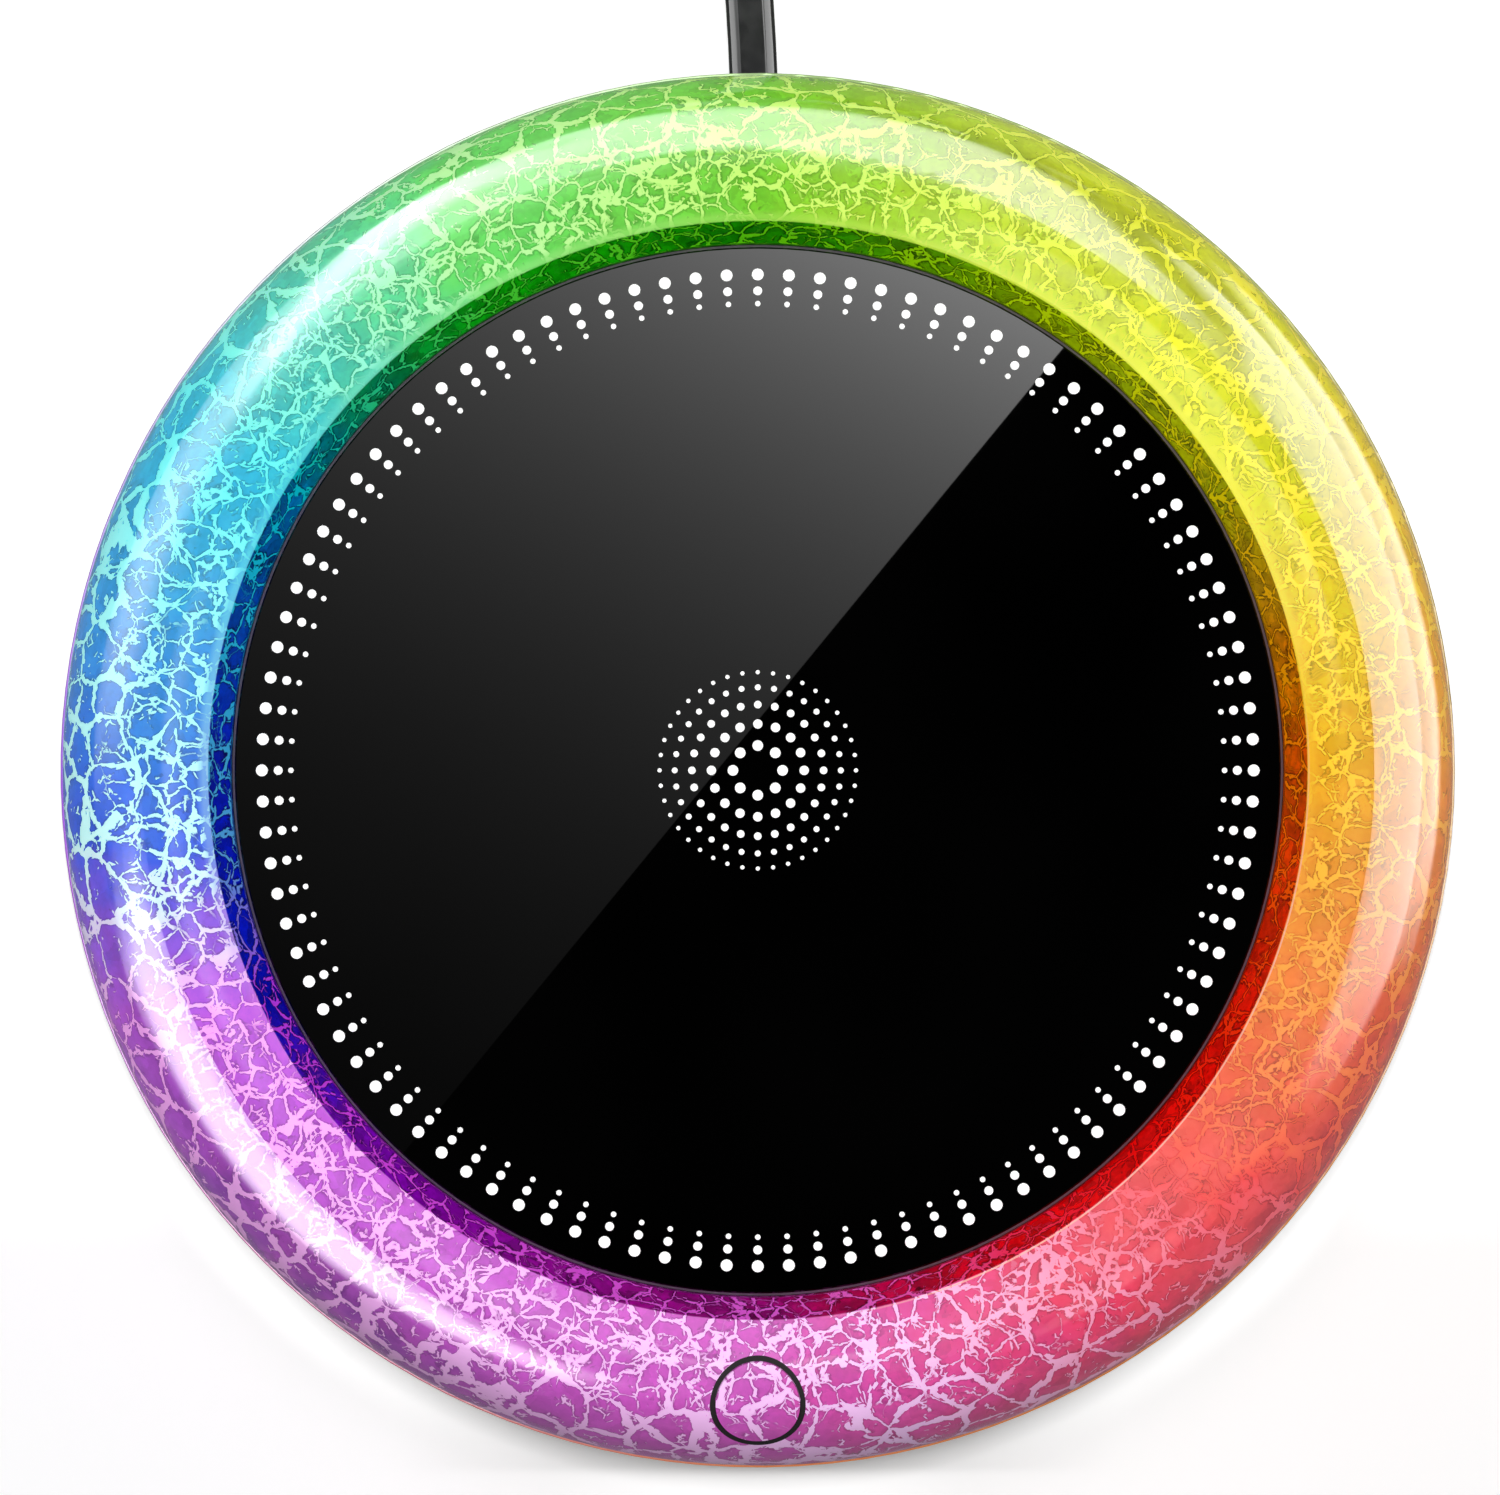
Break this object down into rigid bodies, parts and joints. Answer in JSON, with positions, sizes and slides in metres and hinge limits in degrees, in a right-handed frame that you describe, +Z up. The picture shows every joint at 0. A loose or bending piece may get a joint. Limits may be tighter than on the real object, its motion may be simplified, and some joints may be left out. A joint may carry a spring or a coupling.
{
  "type": "electric mug warmer",
  "caption": "Round electric mug warmer: black glass heating plate set down in a glossy rainbow-crackle light ring, with a flush push button and a flat mains lead.",
  "frame": {"origin": "under the middle of the housing, on the surface that it stands on", "axes": "+Z up, -Y towards the push button at the front, +Y towards the mains lead"},
  "size_m": [0.1386, 0.2338, 0.025],
  "materials": {
    "crackle_ring": "clear gloss over a rainbow crackle",
    "glow_lip": "translucent, polished edge",
    "opal": "frosted opal",
    "light_board_white": "white solder mask",
    "light_chip": "moulded, clear window",
    "plate_glass": "polished black, printed from above in white",
    "silicone": "matt silicone",
    "heat_resistant_plastic": "glass-filled, fine grain",
    "screw_steel": "zinc plated",
    "spreader_aluminium": "rolled sheet",
    "heater_foil": "amber film with an etched track",
    "insulation_felt": "needled glass felt",
    "bead_epoxy": "dipped epoxy",
    "fuse_case": "moulded",
    "red_wire": "smooth insulation",
    "grey_wire": "smooth insulation",
    "circuit_board": "green solder mask",
    "terminal_green": "moulded",
    "capacitor_yellow": "moulded box",
    "capacitor_sleeve": "shrink sleeve",
    "package_black": "moulded package",
    "connector_white": "moulded",
    "gasket_black": "satin",
    "base_black": "fine spark texture",
    "foot_rubber": "matt",
    "lead_black": "satin sheath",
    "tie_black": "satin",
    "blade_nickel": "nickel-plated brass"
  },
  "bodies": {
    "housing": {"light_ring_shell": "crackle_ring", "glow_ring": "glow_lip", "light_diffuser": "opal", "light_board": "light_board_white", "light_chips": "light_chip", "glass_plate": "plate_glass", "plate_gasket": "silicone", "plate_carrier": "heat_resistant_plastic", "carrier_screws": "screw_steel", "shield_screws": "screw_steel", "board_screws": "screw_steel", "base_screws": "screw_steel", "clamp_screws": "screw_steel", "switch_screws": "screw_steel", "heat_spreader": "spreader_aluminium", "heat_shield": "spreader_aluminium", "heater_disc": "heater_foil", "insulation_pad": "insulation_felt", "thermistor": "bead_epoxy", "thermal_fuse": "fuse_case", "heater_leads": "red_wire", "mains_wires": "red_wire", "light_wires": "grey_wire", "switch_wires": "grey_wire", "main_board": "circuit_board", "switch_board": "circuit_board", "mains_terminal": "terminal_green", "x_capacitor": "capacitor_yellow", "electrolytic_capacitor": "capacitor_sleeve", "triac": "package_black", "control_chip": "package_black", "board_fuse": "fuse_case", "wire_connectors": "connector_white", "button_gasket": "gasket_black", "switch_body": "package_black", "base_shell": "base_black", "rubber_feet": "foot_rubber", "strain_relief": "lead_black", "inner_cord": "lead_black", "cord_clamp": "heat_resistant_plastic", "cord_lead": "lead_black", "cord_tail": "lead_black", "cord_coil": "lead_black", "coil_tie": "tie_black", "plug_body": "lead_black", "plug_blades": "blade_nickel"},
    "button": {"button_cap": "crackle_ring", "switch_plunger": "connector_white"}
  },
  "joints": [
    {"name": "button_press", "type": "slide", "parent": "housing", "child": "button", "axis": [0, 0.295, -0.9555], "range_m": [0, 0.0005], "stiffness_N_per_m": 3000, "springref_m": -0.0002}
  ]
}
